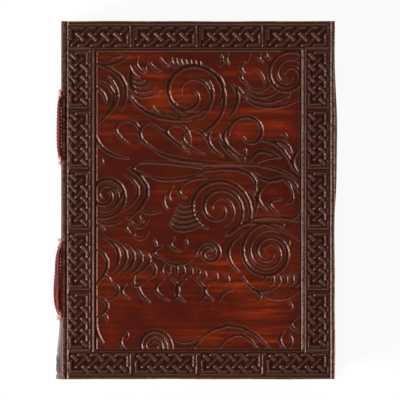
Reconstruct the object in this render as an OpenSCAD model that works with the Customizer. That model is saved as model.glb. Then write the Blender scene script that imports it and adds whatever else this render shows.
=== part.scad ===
// Leather journal, sewn by hand into one embossed hide that wraps front, spine and back.
// It lies closed on its back cover: head of the book towards +Y, spine towards -X, thickness along +Z.
// X = 0 and Y = 0 are the middle of the covers, and Z = 0 is the face it lies on.

/* [Covers] */
// Height of the covers, from head to tail
cover_h = 203; // [180:1:230]
// Width of a cover, from the rounded fold to the fore edge
cover_w = 155; // [140:1:180]
// Thickness of the leather
leather = 3; // [2.4:0.1:4]
// Rounding of the corners that the knife left
corner_r = 1.2; // [0.5:0.1:4]
// How far the fore edge of the back cover strays past the front one
edge_stray = 1.8; // [0.5:0.1:3]

/* [Spine] */
// How far the spine bulges out between its two folds
spine_bulge = 1; // [0.5:0.1:4]
// Height of the raw rim round a slot
rim_h = 0.3; // [0.2:0.1:1]
// Width of the raw rim round a slot
rim_w = 1.4; // [0.8:0.1:2]

/* [Pages] */
// Number of folded sections
sections = 6; // [4:1:8]
// Thickness of one section
section_t = 3.55; // [3.3:0.05:5]
// Distance that the pages stay inside the covers at head, tail and fore edge
page_inset = 4; // [2:0.5:8]

/* [Sewing] */
// Diameter of the sewing cord
cord_d = 2.2; // [1.6:0.1:2.4]
// Middle of the upper row of stitches
upper_y = 41.5; // [35:0.5:48]
// Distance between the two slots of the upper row
upper_span = 38; // [30:0.5:42]
// Middle of the lower row of stitches
lower_y = -45; // [-50:0.5:-40]
// Distance between the two slots of the lower row
lower_span = 41; // [30:0.5:44]
// How far an upper stitch hangs clear of the leather
upper_slack = 0.2; // [0:0.1:3]
// How far a lower stitch hangs clear of the leather
lower_slack = 0.8; // [0:0.1:4]

/* [Stamp] */
// Depth that the stamp presses into the leather
stamp_depth = 0.8; // [0.4:0.1:1.2]
// Plain leather outside the knotwork at the fore edge and the fold
side_margin = 4; // [3.5:0.5:8]
// Plain leather outside the knotwork at head and tail
end_margin = 3; // [2.5:0.5:8]
// Width of the band of knotwork
knot_band = 12; // [10:0.5:14]
// Width of one raised strand
strand = 1.3; // [0.9:0.1:1.6]
// Panels in the row along head and tail
row_panels = 4; // [3:1:5]
// Panels in the column along each side
column_panels = 5; // [4:1:6]
// Plain bridge between two panels
bridge = 2.4; // [1.5:0.1:4]
// Distance from the knotwork to the scroll field, where the bead line runs
bead_gap = 4; // [3:0.5:6]

/* [Hidden] */

// Running clearance between pieces that move past each other, and between a cord and its hole
clear = 0.3;
// Overlap that lets a cutting tool run past the face it cuts
past = 1;

pages_t = sections * section_t;
book_t = 2 * leather + 2 * clear + pages_t;
mid_z = book_t / 2;
fold_x = -cover_w / 2 + leather / 2;
fold_z = leather / 2;

// The leather of the spine is a strip between the two covers, bent to a flat arc
strip_h = pages_t;
spine_r = (pow(strip_h / 2, 2) + pow(spine_bulge, 2)) / (2 * spine_bulge);
spine_cx = -cover_w / 2 - spine_bulge + spine_r;
function spine_x(z, r) = spine_cx - sqrt(pow(r, 2) - pow(z - mid_z, 2));

leather_brown = [0.29, 0.12, 0.08];
paper_cream = [0.90, 0.85, 0.72];
cord_red = [0.40, 0.10, 0.11];

// A ribbon runs along a path, with its own width at each point of the path
function heading(path, i) =
    let (d = path[min(i + 1, len(path) - 1)] - path[max(i - 1, 0)]) d / norm(d);
function ribbon_side(path, widths, side) =
    [for (i = [0:len(path) - 1])
        let (t = heading(path, i)) path[i] + side * widths[i] / 2 * [-t.y, t.x]];
function reversed(list) = [for (i = [len(list) - 1:-1:0]) list[i]];

module ribbon(path, widths) {
    polygon(concat(ribbon_side(path, widths, 1), reversed(ribbon_side(path, widths, -1))));
}

module strand_along(path) {
    ribbon(path, [for (p = path) strand]);
}

// Knotwork: a plait of four strands in a box, drawn along X.
// Every crossing shows only the strand on top, so a strand is a row of short bars.
// First crossing from the end of a panel
knot_end = 3;
// Part of a lower strand that a crossing hides
knot_hide = 1.25;
// Pressed ground between the outermost strands and the edge of a panel
knot_gap = 0.5;

module knot_half(length, width, pitch) {
    first = -length / 2 + knot_end;
    rise = pitch / 2;
    edge = width / 2 - knot_gap - strand / 2;
    reach = rise - knot_hide;
    rim_x = -length / 2 + knot_gap + strand / 2;
    bars = round((length - 2 * knot_end) / pitch);
    for (i = [0:bars - 1]) {
        x = first + i * pitch;
        turn = x - (edge - rise);
        bar = [[turn, edge], [x + reach, rise - reach]];
        strand_along(i == 0 ? bar : concat([[turn - pitch / 2, edge]], bar));
    }
    strand_along([[rim_x, edge - knot_end], [rim_x, -edge], [rim_x + pitch, -edge]]);
}

module knot_strands(length, width, bars) {
    pitch = (length - 2 * knot_end) / bars;
    reach = pitch / 2 - knot_hide;
    knot_half(length, width, pitch);
    rotate(180) knot_half(length, width, pitch);
    for (i = [0:bars - 1]) {
        x = -length / 2 + knot_end + (i + 0.5) * pitch;
        strand_along([[x - reach, -reach], [x + reach, reach]]);
    }
}

// The ground of a panel is pressed down and leaves the strands standing
module knot_panel(length, width, bars) {
    difference() {
        square([length, width], center = true);
        knot_strands(length, width, bars);
    }
}

bars_per_panel = 4;
band_x = cover_w / 2 - side_margin;
band_y = cover_h / 2 - end_margin;
field_w = 2 * (band_x - knot_band - bead_gap);
field_h = 2 * (band_y - knot_band - bead_gap / 2);

// Lays out the panels of the border and draws the children in each, with its length in $length
module knot_border() {
    row_l = (2 * band_x - (row_panels - 1) * bridge) / row_panels;
    column_l = (field_h - (column_panels - 1) * bridge) / column_panels;
    for (i = [0:row_panels - 1], side = [-1, 1]) {
        x = -band_x + row_l / 2 + i * (row_l + bridge);
        $length = row_l;
        translate([x, side * (band_y - knot_band / 2)]) mirror([0, side > 0 ? 1 : 0]) children();
    }
    for (i = [0:column_panels - 1], side = [-1, 1]) {
        y = -field_h / 2 + column_l / 2 + i * (column_l + bridge);
        $length = column_l;
        translate([side * (band_x - knot_band / 2), y]) rotate(90) mirror([0, 1]) children();
    }
}

// Fine straight lines: two round the scroll field with a bead between them, and two along each side
line_w = 0.8;
bead_w = 1.4;
// Places of the two side lines, as shares of the side margin
side_lines = [0.28, 0.78];

module line_frame(w, h) {
    difference() {
        square([w + 2 * line_w, h + 2 * line_w], center = true);
        square([w, h], center = true);
    }
}

module frame_lines() {
    line_frame(field_w, field_h);
    line_frame(field_w + 2 * (line_w + bead_w), field_h + 2 * (line_w + bead_w / 2));
    for (side = [-1, 1]) {
        for (place = side_lines) {
            translate([side * (band_x + place * side_margin), 0])
                square([line_w, cover_h + past], center = true);
        }
        translate([0, side * (band_y + end_margin / 2)]) square([2 * band_x, line_w / 2], center = true);
    }
}

// The scrollwork is drawn on squared paper laid over the field, x to the right and y down
// from its top left corner. A groove is thin at its ends and widest in the middle.
paper_w = 203;
paper_h = 296;
// Width of a groove at its tips, and what it gains up to its middle, as shares of its listed width
groove_tip = 0.35;
groove_gain = 0.9;
function taper(s) = groove_tip + groove_gain * pow(sin(180 * s), 0.6);

// A stroke is given by its start, its middle, its end and its width, and a long one has more pieces
long_stroke = 18;

function stroke_point(a, m, b, s) =
    (1 - s) * (1 - 2 * s) * a + 4 * s * (1 - s) * m + s * (2 * s - 1) * b;

module stroke(a, m, b, w) {
    steps = norm(b - a) + norm(m - (a + b) / 2) > long_stroke ? 5 : 3;
    ribbon([for (i = [0:steps]) stroke_point(a, m, b, i / steps)],
        [for (i = [0:steps]) w * taper(i / steps)]);
}

// A fan fills the space between two strokes with more of the same kind
module fan(first, last, count) {
    for (i = [0:count - 1]) {
        k = i / (count - 1);
        s = first * (1 - k) + last * k;
        stroke([s[0], s[1]], [s[2], s[3]], [s[4], s[5]], s[6]);
    }
}

// A volute winds inwards from radius r0 to r1, starting at angle a0 and turning by sweep.
// It is drawn in short straight pieces, each of which turns by this many degrees.
volute_turn = 18;

module volute(c, r0, r1, a0, sweep, w) {
    steps = ceil(abs(sweep) / volute_turn);
    ribbon([for (i = [0:steps])
            let (s = i / steps, r = r0 + (r1 - r0) * s, a = a0 + sweep * s) c + r * [cos(a), sin(a)]],
        [for (i = [0:steps]) w * taper(0.15 + 0.85 * i / steps)]);
}

// Inside the band of a volute runs a finer line, halfway to its next turn
function echo_step(r0, r1, sweep) = (r0 - r1) * 180 / abs(sweep);
echo_width = 0.6;

module inner_line(c, r0, r1, a0, sweep, w) {
    step = echo_step(r0, r1, sweep);
    share = min(1, (r0 - 1.6 * step) / (r0 - r1));
    volute(c, r0 - step, r0 - step - (r0 - r1) * share, a0, sweep * share, w * echo_width);
}

volutes = [
    [[93, 43], 40, 5, 70, -470, 3.0],
    [[95, 43], 19, 22, 150, -190, 2.2],
    [[192, 24], 25, 4, -50, -480, 2.6],
    [[152, 82], 21, 6, 170, 350, 2.4],
    [[9, 143], 23, 4, 110, -530, 2.6],
    [[122, 157], 27, 4, 70, -470, 2.4],
    [[120, 158], 35, 21, 20, -265, 2.8],
    [[172, 200], 31, 5, -60, -640, 2.6],
    [[113, 201], 14, 3, 170, 500, 2.2],
    [[57, 293], 19, 4, 30, -540, 2.4]];

fans = [
    [[33, 14, 36, 22, 43, 27, 2.0], [31, 29, 43, 45, 64, 40, 2.4], 5],
    [[75, 6, 75, 12, 81, 17, 2.0], [103, 10, 103, 12, 105, 16, 1.6], 7],
    [[148, 32, 162, 40, 175, 32, 1.8], [148, 48, 174, 56, 203, 48, 2.4], 4],
    [[82, 150, 89, 153, 97, 150, 1.6], [72, 169, 84, 178, 106, 172, 2.2], 6],
    [[6, 184, 22, 200, 15, 220, 2.8], [46, 199, 53, 208, 40, 222, 2.0], 5],
    [[68, 212, 65, 217, 67, 221, 1.8], [98, 213, 103, 219, 98, 225, 1.8], 6],
    [[104, 216, 109, 221, 106, 228, 1.8], [126, 220, 132, 226, 128, 232, 1.8], 3],
    [[173, 221, 177, 227, 174, 233, 1.8], [198, 220, 203, 226, 199, 234, 2.2], 5]];

strokes = [
    [[0, 12], [16, 13], [33, 4], 2.4], [[13, 9], [19, 5], [29, 5], 1.8],
    [[1, 13], [27, 30], [25, 59], 3.0], [[10, 24], [21, 42], [14, 62], 2.0],
    [[2, 29], [18, 47], [1, 73], 2.6], [[0, 36], [7, 43], [10, 52], 2.0],
    [[42, 5], [40, 15], [49, 22], 2.2], [[52, 10], [48, 15], [50, 20], 1.8],
    [[53, 11], [57, 17], [64, 21], 2.0], [[63, 6], [67, 12], [73, 16], 2.0],
    [[33, 44], [55, 63], [94, 69], 3.0], [[56, 54], [57, 58], [63, 62], 1.8],
    [[67, 59], [87, 66], [107, 58], 1.8], [[123, 3], [126, 9], [124, 16], 2.0],
    [[132, 2], [129, 8], [133, 14], 2.0], [[135, 33], [141, 47], [132, 67], 3.0],
    [[119, 22], [127, 36], [120, 56], 1.8], [[140, 35], [144, 40], [150, 48], 1.8],
    [[154, 3], [151, 8], [150, 12], 1.8], [[148, 11], [144, 17], [149, 23], 2.0],
    [[146, 22], [144, 27], [151, 32], 2.0], [[164, 2], [162, 7], [167, 12], 1.8],
    [[170, 2], [170, 6], [175, 9], 1.8], [[158, 18], [165, 24], [168, 33], 1.6],
    [[192, 42], [191, 44], [192, 48], 1.4], [[0, 85], [9, 99], [32, 107], 2.6],
    [[27, 70], [19, 79], [33, 93], 2.2], [[27, 70], [41, 74], [43, 93], 2.0],
    [[52, 71], [43, 84], [60, 99], 2.4], [[58, 98], [80, 107], [124, 111], 2.8],
    [[52, 71], [68, 82], [94, 103], 1.8], [[78, 74], [70, 81], [87, 95], 2.2],
    [[78, 74], [90, 78], [94, 93], 1.6], [[92, 78], [87, 90], [108, 103], 2.4],
    [[93, 78], [106, 82], [116, 100], 1.8], [[114, 80], [113, 93], [127, 105], 2.4],
    [[122, 82], [128, 96], [143, 110], 2.2], [[133, 74], [128, 90], [149, 108], 2.6],
    [[147, 96], [149, 100], [147, 106], 1.8], [[154, 109], [164, 99], [184, 106], 3.0],
    [[160, 111], [174, 106], [185, 106], 1.6], [[164, 89], [183, 95], [198, 119], 2.4],
    [[170, 90], [187, 91], [195, 102], 2.4], [[203, 97], [196, 110], [203, 122], 2.4],
    [[183, 82], [189, 83], [189, 89], 2.0], [[43, 111], [37, 118], [54, 124], 2.2],
    [[43, 111], [70, 111], [110, 117], 1.8], [[52, 124], [75, 128], [107, 121], 2.2],
    [[105, 113], [140, 112], [164, 114], 1.8], [[102, 120], [148, 119], [159, 141], 2.6],
    [[157, 120], [170, 128], [190, 126], 2.4], [[164, 115], [182, 118], [200, 128], 1.8],
    [[30, 115], [51, 139], [31, 167], 3.0], [[26, 122], [42, 139], [26, 159], 2.0],
    [[18, 134], [25, 143], [18, 153], 1.6], [[1, 168], [14, 172], [30, 165], 2.0],
    [[0, 171], [4, 175], [9, 178], 2.0], [[4, 107], [6, 110], [5, 113], 1.8],
    [[45, 158], [52, 161], [65, 159], 1.8], [[43, 163], [43, 167], [48, 170], 1.8],
    [[33, 167], [42, 175], [52, 168], 1.8], [[33, 170], [29, 175], [34, 181], 2.0],
    [[36, 181], [44, 187], [52, 179], 1.8], [[77, 134], [72, 141], [74, 149], 2.0],
    [[68, 144], [67, 151], [71, 157], 2.0], [[87, 133], [82, 140], [90, 146], 2.4],
    [[86, 133], [96, 127], [111, 126], 2.0], [[152, 138], [160, 149], [157, 164], 1.8],
    [[171, 159], [161, 145], [170, 132], 2.6], [[169, 132], [186, 126], [196, 141], 2.2],
    [[196, 141], [195, 149], [188, 152], 2.0], [[185, 147], [173, 151], [183, 162], 2.2],
    [[183, 162], [194, 166], [203, 160], 2.0], [[190, 126], [198, 132], [203, 141], 2.0],
    [[142, 176], [164, 165], [202, 169], 2.0], [[145, 182], [131, 200], [143, 220], 2.6],
    [[127, 184], [160, 170], [203, 188], 2.0], [[193, 187], [192, 190], [193, 193], 1.6],
    [[0, 196], [11, 211], [0, 231], 2.6], [[52, 208], [59, 218], [49, 228], 2.2],
    [[50, 228], [38, 233], [38, 222], 2.0], [[66, 193], [57, 200], [67, 206], 2.2],
    [[66, 206], [80, 212], [96, 207], 2.0], [[78, 185], [74, 193], [85, 199], 2.2],
    [[88, 186], [90, 190], [89, 195], 1.8], [[56, 186], [59, 190], [60, 195], 1.8],
    [[145, 222], [160, 238], [182, 233], 2.2], [[166, 221], [168, 224], [166, 229], 1.6],
    [[164, 241], [184, 246], [203, 238], 1.8], [[1, 229], [8, 223], [15, 229], 2.0],
    [[14, 229], [22, 238], [12, 248], 2.2], [[30, 231], [25, 239], [34, 247], 2.2],
    [[42, 233], [45, 242], [54, 250], 2.2], [[68, 226], [59, 237], [73, 248], 2.4],
    [[74, 225], [82, 236], [77, 248], 2.0], [[90, 226], [79, 238], [89, 249], 2.4],
    [[98, 226], [108, 237], [104, 249], 2.0], [[112, 233], [108, 239], [117, 248], 2.2],
    [[123, 249], [127, 240], [138, 236], 2.0], [[158, 238], [164, 243], [160, 249], 2.0],
    [[0, 243], [11, 253], [0, 264], 2.4], [[0, 266], [0, 278], [7, 290], 2.6],
    [[7, 261], [10, 264], [10, 268], 1.8], [[26, 284], [24, 290], [29, 296], 2.0],
    [[29, 278], [31, 282], [29, 286], 1.8], [[100, 288], [138, 272], [175, 297], 2.6],
    [[121, 296], [142, 281], [162, 297], 2.2], [[96, 297], [99, 291], [105, 288], 1.8],
    [[78, 286], [88, 289], [99, 286], 1.8], [[203, 263], [194, 271], [203, 279], 2.2],
    [[188, 277], [183, 287], [190, 297], 2.2], [[192, 280], [195, 288], [191, 295], 1.8],
    [[190, 247], [194, 251], [196, 256], 1.6]];

module scrollwork() {
    intersection() {
        square([field_w, field_h], center = true);
        translate([-field_w / 2, field_h / 2]) scale([field_w / paper_w, -field_h / paper_h]) {
            for (v = volutes) {
                volute(v[0], v[1], v[2], v[3], v[4], v[5]);
                if (abs(v[4]) > 400) inner_line(v[0], v[1], v[2], v[3], v[4], v[5]);
            }
            for (f = fans) fan(f[0], f[1], f[2]);
            for (s = strokes) stroke(s[0], s[1], s[2], s[3]);
        }
    }
}

// A hair of growth melts outlines that touch at a corner into one clean outline
melt = 0.02;

module press() {
    linear_extrude(stamp_depth + past) offset(delta = melt) children();
}

// Everything that the stamp presses down on one cover
module stamp() {
    knot_border() press() knot_panel($length, knot_band, bars_per_panel);
    press() frame_lines();
    press() scrollwork();
}

// Cover seen from above: square corners, barely rounded
module cover_plan() {
    offset(r = corner_r, $fn = 24) square([cover_w - 2 * corner_r, cover_h - 2 * corner_r], center = true);
}

// The knife strayed outwards over the upper half of the back cover's fore edge
module stray_edge() {
    steps = 14;
    top = 0.48 * cover_h;
    bottom = -0.06 * cover_h;
    polygon(concat([[0, top], [0, bottom]],
        [for (i = [0:steps]) let (s = i / steps)
            [cover_w / 2 + edge_stray * sin(180 * pow(s, 0.8)), bottom + (top - bottom) * s]]));
}

// Cover seen from its tail: a sheet of leather whose fold is rounded about the hinge line
module cover_profile() {
    hull() {
        translate([fold_x, fold_z]) circle(d = leather, $fn = 32);
        translate([0, 0]) square([cover_w / 2 + edge_stray + past, leather]);
    }
}

module cover_blank() {
    intersection() {
        translate([0, cover_h, 0]) rotate([90, 0, 0]) linear_extrude(2 * cover_h) cover_profile();
        linear_extrude(leather) children();
    }
}

// The stamped face looks up, and the sheet lies on Z = 0
module stamped_sheet() {
    difference() {
        cover_blank() children();
        translate([0, 0, leather - stamp_depth]) stamp();
    }
}

module front_cover() {
    color(leather_brown)
    translate([0, 0, book_t - leather]) stamped_sheet() cover_plan();
}

module back_cover() {
    color(leather_brown)
    translate([0, 0, leather]) mirror([0, 0, 1]) stamped_sheet() offset(delta = melt) {
        cover_plan();
        stray_edge();
    }
}

// Arc of spine leather between two radii, seen from the tail, from the back cover up to the front cover
module strip_profile(r_in, r_out, height) {
    intersection() {
        difference() {
            translate([spine_cx, mid_z]) circle(r = r_out, $fn = 180);
            translate([spine_cx, mid_z]) circle(r = r_in, $fn = 180);
        }
        translate([spine_cx - spine_r - past, mid_z - height / 2]) square([spine_r, height]);
    }
}

module strip(r_in, r_out, height, y0, y1) {
    translate([0, y1, 0]) rotate([90, 0, 0]) linear_extrude(y1 - y0) strip_profile(r_in, r_out, height);
}

stations = [upper_y + upper_span / 2, upper_y - upper_span / 2,
    lower_y + lower_span / 2, lower_y - lower_span / 2];
stitch_pitch = 0.9 * section_t;
slot_y = cord_d + 2 * clear;
slot_z = (sections - 1) * stitch_pitch + cord_d + 2 * clear;

module across_spine(size_y, size_z, y) {
    translate([-cover_w, y - size_y / 2, mid_z - size_z / 2]) cube([cover_w, size_y, size_z]);
}

// The knotwork of head and tail runs on round the spine, pressed in along X
module spine_knots() {
    for (side = [-1, 1]) {
        translate([-cover_w, side * (band_y - knot_band / 2), mid_z])
            rotate([90, 0, 90]) linear_extrude(cover_w) offset(delta = melt) rotate(90) scale([1, side])
                knot_panel(strip_h - 2 * past, knot_band, 2);
    }
}

// Raw rim that swells up round a slot
module slot_rim(y) {
    half = slot_y / 2 + rim_w;
    strip(spine_r - leather / 2, spine_r + rim_h, slot_z + rim_w, y - half, y + half);
}

module spine() {
    color(leather_brown)
    difference() {
        union() {
            strip(spine_r - leather, spine_r, strip_h, -cover_h / 2, cover_h / 2);
            for (y = stations) slot_rim(y);
        }
        intersection() {
            strip(spine_r - stamp_depth, spine_r + past, strip_h + past, -cover_h / 2, cover_h / 2);
            spine_knots();
        }
        for (y = stations) across_spine(slot_y, slot_z, y);
    }
}

// Sections lie on one another, and the fold of each is a round nose behind the leather
nose_r = 0.55 * section_t;
function section_z(i) = leather + clear + (i + 0.5) * section_t;
function stitch_z(i) = mid_z + (i - (sections - 1) / 2) * stitch_pitch;
function nose_x(i) = spine_x(section_z(i), spine_r - leather) + 2 * clear + nose_r;
function inside_x(i) = nose_x(i) + 1;

module page_profile() {
    fore = cover_w / 2 - page_inset;
    intersection() {
        union() {
            for (i = [0:sections - 1]) {
                translate([nose_x(i), section_z(i)]) circle(r = nose_r, $fn = 48);
                translate([nose_x(i), section_z(i) - section_t / 2]) square([fore - nose_x(i), section_t]);
            }
        }
        translate([-cover_w, leather + clear]) square([2 * cover_w, pages_t]);
    }
}

// The cord runs along inside the fold of its section, between two holes
module cord_way(i, y0, y1) {
    bore = cord_d + 2 * clear;
    translate([inside_x(i), y0 - bore / 2, stitch_z(i)]) rotate([-90, 0, 0])
        cylinder(d = bore, h = y1 - y0 + bore, $fn = 32);
    for (y = [y0, y1]) {
        translate([-cover_w / 2, y, stitch_z(i)]) rotate([0, 90, 0])
            cylinder(d = bore, h = inside_x(i) + cover_w / 2, $fn = 32);
    }
}

module page_block() {
    color(paper_cream)
    difference() {
        translate([0, cover_h / 2 - page_inset, 0]) rotate([90, 0, 0])
            linear_extrude(cover_h - 2 * page_inset) page_profile();
        for (i = [0:sections - 1]) {
            cord_way(i, upper_y - upper_span / 2, upper_y + upper_span / 2);
            cord_way(i, lower_y - lower_span / 2, lower_y + lower_span / 2);
        }
    }
}

// One stitch is a closed loop of cord: straight inside the section, slack in the open
outer_rings = 14;

function stitch_path(i, y, span, slack) =
    let (z = stitch_z(i),
        skin = spine_x(z, spine_r) - rim_h - cord_d / 2,
        deep = inside_x(i),
        droop = slack * (1 + 0.25 * sin(110 * i)),
        lean = 0.1 * cos(150 * i),
        corner = cord_d / 3)
    concat(
        [for (k = [0:outer_rings])
            let (s = k / outer_rings, w = s + lean * sin(180 * s))
            [skin - droop * sin(180 * w), y + span / 2 - span * s, z + 0.3 * sin(360 * s + 80 * i)]],
        [[skin + corner + cord_d, y - span / 2, z], [deep - corner, y - span / 2, z],
         [deep, y - span / 2 + corner, z], [deep, y, z], [deep, y + span / 2 - corner, z],
         [deep - corner, y + span / 2, z], [skin + corner + cord_d, y + span / 2, z]]);

cord_sides = 8;

// Ring of points square to the path at point i of a closed path
function cord_ring(path, i) =
    let (n = len(path),
        t = path[(i + 1) % n] - path[(i + n - 1) % n],
        u = t / norm(t),
        side = cross([0, 0, 1], u) / norm(cross([0, 0, 1], u)),
        up = cross(u, side))
    [for (k = [0:cord_sides - 1])
        let (a = 360 * (k + 0.5) / cord_sides) path[i] + cord_d / 2 * (cos(a) * side + sin(a) * up)];

module closed_cord(path) {
    n = len(path);
    polyhedron(
        points = [for (i = [0:n - 1]) each cord_ring(path, i)],
        faces = [for (i = [0:n - 1], k = [0:cord_sides - 1])
            let (j = (i + 1) % n, m = (k + 1) % cord_sides)
            each [[i * cord_sides + k, i * cord_sides + m, j * cord_sides + m],
                [i * cord_sides + k, j * cord_sides + m, j * cord_sides + k]]]);
}

module upper_stitch(i) {
    color(cord_red) closed_cord(stitch_path(i, upper_y, upper_span, upper_slack));
}

module lower_stitch(i) {
    color(cord_red) closed_cord(stitch_path(i, lower_y, lower_span, lower_slack));
}

front_cover();
spine();
back_cover();
page_block();
for (i = [0:sections - 1]) {
    upper_stitch(i);
    lower_stitch(i);
}
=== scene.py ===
"""The looks of a leather journal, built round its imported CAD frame, one section for each piece."""
import math
import bpy
import numpy as np
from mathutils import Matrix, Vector
from mathutils.bvhtree import BVHTree


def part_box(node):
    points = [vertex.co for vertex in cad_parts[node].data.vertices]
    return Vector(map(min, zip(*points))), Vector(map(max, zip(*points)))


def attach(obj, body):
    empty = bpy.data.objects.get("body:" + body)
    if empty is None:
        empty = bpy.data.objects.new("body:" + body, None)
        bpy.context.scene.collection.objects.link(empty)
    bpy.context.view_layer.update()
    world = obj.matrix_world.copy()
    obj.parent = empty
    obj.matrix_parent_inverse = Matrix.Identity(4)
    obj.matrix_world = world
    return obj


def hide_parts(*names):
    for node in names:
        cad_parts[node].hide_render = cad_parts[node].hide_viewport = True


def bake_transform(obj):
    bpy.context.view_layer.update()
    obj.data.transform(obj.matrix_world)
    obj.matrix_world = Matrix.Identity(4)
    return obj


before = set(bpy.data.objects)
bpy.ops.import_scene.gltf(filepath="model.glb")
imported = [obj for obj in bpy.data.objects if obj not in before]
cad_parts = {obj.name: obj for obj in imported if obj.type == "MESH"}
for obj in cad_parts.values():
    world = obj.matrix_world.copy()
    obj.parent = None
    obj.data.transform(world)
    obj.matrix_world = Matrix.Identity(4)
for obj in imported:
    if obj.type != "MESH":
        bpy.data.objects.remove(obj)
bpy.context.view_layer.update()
MM = 0.001

# Pages
# Six sections of thick handmade rag paper, each a stack of sheets folded once, so that a section is
# round at its fold and its deckled edges don't lie quite in line.
paper_lo, paper_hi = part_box("page_block")
section_count = 6
leaves_per_section = 12
section_t = (paper_hi.z - paper_lo.z) / section_count
leaf_gap = 0.04 * MM
nose_r = 0.55 * section_t
# Room that the first leaf leaves behind its fold
fold_room = 0.6 * MM
# How far a torn edge strays, and how close the points along it are
deckle = 0.5 * MM
deckle_step = 3 * MM


def linear(hex_colour, alpha=1.0):
    """Turns an sRGB colour such as "8a2c0c" to the linear values that Blender works in."""
    parts = [int(hex_colour[i:i + 2], 16) / 255 for i in (0, 2, 4)]
    return [p / 12.92 if p <= 0.04045 else ((p + 0.055) / 1.055) ** 2.4 for p in parts] + [alpha]


def add(tree, kind, inputs=None, stops=(), **settings):
    """Adds a node with its settings, its inputs as values or links, and the stops of its colour ramp."""
    node = tree.nodes.new(kind)
    for key, value in settings.items():
        setattr(node, key, value)
    for key, value in (inputs or {}).items():
        if isinstance(value, bpy.types.NodeSocket):
            tree.links.new(value, node.inputs[key])
        else:
            node.inputs[key].default_value = value
    if stops:
        elements = node.color_ramp.elements
        while len(elements) < len(stops):
            elements.new(0.5)
        for element, (place, colour) in zip(elements, stops):
            element.position = place
            element.color = linear(colour)
    return node


def stretched_noise(tree, cycles, detail=4.0, roughness=0.55):
    """Noise on Object coordinates, with its cycles per metre given for each axis."""
    place = add(tree, "ShaderNodeTexCoord")
    scaled = add(tree, "ShaderNodeMapping", {"Vector": place.outputs["Object"], "Scale": cycles})
    noise = add(tree, "ShaderNodeTexNoise",
                {"Vector": scaled.outputs[0], "Scale": 1.0, "Detail": detail, "Roughness": roughness})
    return noise.outputs["Fac"]


def mesh_piece(name, points, faces, materials, slots=None, smooth=True):
    """Makes a mesh object at the origin from points in metres, without the points no face uses."""
    used = sorted({i for face in faces for i in face})
    place = {old: new for new, old in enumerate(used)}
    mesh = bpy.data.meshes.new(name)
    mesh.from_pydata([points[i] for i in used], [], [[place[i] for i in face] for face in faces])
    for material in materials:
        mesh.materials.append(material)
    if slots is not None:
        mesh.polygons.foreach_set("material_index", slots)
    mesh.polygons.foreach_set("use_smooth", [smooth] * len(mesh.polygons))
    piece = bpy.data.objects.new(name, mesh)
    bpy.context.scene.collection.objects.link(piece)
    return piece, used


# Cotton rag paper, air dried: warm off-white, matt, with faint fibres, drawn 1 mm apart so that they show
rag_paper = bpy.data.materials.new("Cotton rag paper")
rag_paper.use_nodes = True
tree = rag_paper.node_tree
shader = tree.nodes["Principled BSDF"]
fibres = stretched_noise(tree, (900, 900, 2600), 5.0)
tone = add(tree, "ShaderNodeValToRGB", {"Fac": fibres}, stops=[(0.3, "c2b08c"), (0.7, "dccfb2")])
tree.links.new(tone.outputs[0], shader.inputs["Base Color"])
shader.inputs["Roughness"].default_value = 0.9
paper_bump = add(tree, "ShaderNodeBump", {"Height": fibres, "Strength": 0.35, "Distance": 0.0003})
tree.links.new(paper_bump.outputs[0], shader.inputs["Normal"])

# Each leaf is a thin slab, with points all along its edge that the tree below strays out of line
leaf_points = []
leaf_faces = []
pitch = section_t / leaves_per_section
for k in range(leaves_per_section):
    z0 = k * pitch + leaf_gap
    z1 = (k + 1) * pitch - leaf_gap
    offset = abs((k + 0.5) * pitch - section_t / 2)
    back = paper_lo.x + fold_room + nose_r - math.sqrt(max(nose_r ** 2 - offset ** 2, 0))
    front = paper_hi.x - 0.5 * deckle
    nx = int((front - back) / deckle_step)
    ny = int((paper_hi.y - paper_lo.y) / deckle_step)
    xs = np.linspace(back, front, nx + 1)
    ys = np.linspace(paper_lo.y + 0.5 * deckle, paper_hi.y - 0.5 * deckle, ny + 1)
    edge = [(x, ys[0]) for x in xs] + [(front, y) for y in ys[1:-1]]
    edge += [(x, ys[-1]) for x in xs[::-1]] + [(back, y) for y in ys[-2:0:-1]]
    first = len(leaf_points)
    count = len(edge)
    leaf_points += [(x, y, z0) for x, y in edge] + [(x, y, z1) for x, y in edge]
    leaf_faces.append([first + i for i in range(count)][::-1])
    leaf_faces.append([first + count + i for i in range(count)])
    for i in range(count):
        j = (i + 1) % count
        leaf_faces.append([first + i, first + j, first + count + j, first + count + i])
pages, _ = mesh_piece("paper_sections", leaf_points, leaf_faces, [rag_paper], smooth=False)

stack = bpy.data.node_groups.new("Stack of sections", "GeometryNodeTree")
stack.interface.new_socket("Section", in_out="INPUT", socket_type="NodeSocketGeometry")
for label in ("Pitch", "Lowest", "Deckle"):
    stack.interface.new_socket(label, in_out="INPUT", socket_type="NodeSocketFloat")
stack.interface.new_socket("Count", in_out="INPUT", socket_type="NodeSocketInt")
stack.interface.new_socket("Pages", in_out="OUTPUT", socket_type="NodeSocketGeometry")
given = add(stack, "NodeGroupInput").outputs
start = add(stack, "ShaderNodeCombineXYZ", {"Z": given["Lowest"]})
rise = add(stack, "ShaderNodeCombineXYZ", {"Z": given["Pitch"]})
places = add(stack, "GeometryNodeMeshLine",
             {"Count": given["Count"], "Start Location": start.outputs[0], "Offset": rise.outputs[0]})
copies = add(stack, "GeometryNodeInstanceOnPoints",
             {"Points": places.outputs[0], "Instance": given["Section"]})
real = add(stack, "GeometryNodeRealizeInstances", {"Geometry": copies.outputs[0]})
where = add(stack, "GeometryNodeInputPosition")
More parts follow.
